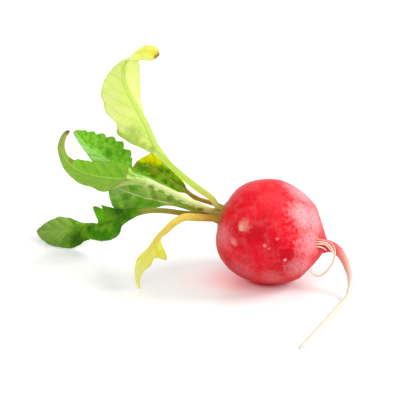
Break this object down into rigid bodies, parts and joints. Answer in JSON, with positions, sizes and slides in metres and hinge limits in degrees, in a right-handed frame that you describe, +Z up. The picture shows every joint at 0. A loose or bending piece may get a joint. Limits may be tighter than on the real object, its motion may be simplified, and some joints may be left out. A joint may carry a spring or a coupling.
{
  "type": "radish with leaves",
  "caption": "Round red radish lying on its side with its curved tap root, fine side roots and fresh leaves on long stalks.",
  "frame": {"origin": "middle of the small flat spot under the globe, on the surface that the radish lies on", "axes": "+Z up; +X from the leaves towards the tap root; +Y from the front to the back"},
  "size_m": [0.099, 0.0779, 0.0752],
  "materials": {
    "radish_skin": "thin red skin with a soft sheen, fading to a cream white tap root",
    "pale_leaf": "pale yellow-green leaf that lets light through",
    "leaf_underside": "light green underside of a leaf, matte",
    "green_leaf": "fresh green leaf, slightly shiny",
    "crinkled_leaf": "mottled green crinkled leaf with a yellow edge",
    "broad_leaf": "mid green leaf with pale ribs",
    "dark_leaf": "dark green leaf, slightly shiny",
    "yellow_leaf": "wilted yellow leaf on an orange stalk"
  },
  "bodies": {
    "root": {"root": "radish_skin", "leaf_tall": "pale_leaf", "leaf_cupped": "leaf_underside", "leaf_scalloped": "green_leaf", "leaf_crinkled": "crinkled_leaf", "leaf_broad": "broad_leaf", "leaf_low": "dark_leaf", "leaf_wilted": "yellow_leaf"}
  },
  "joints": []
}
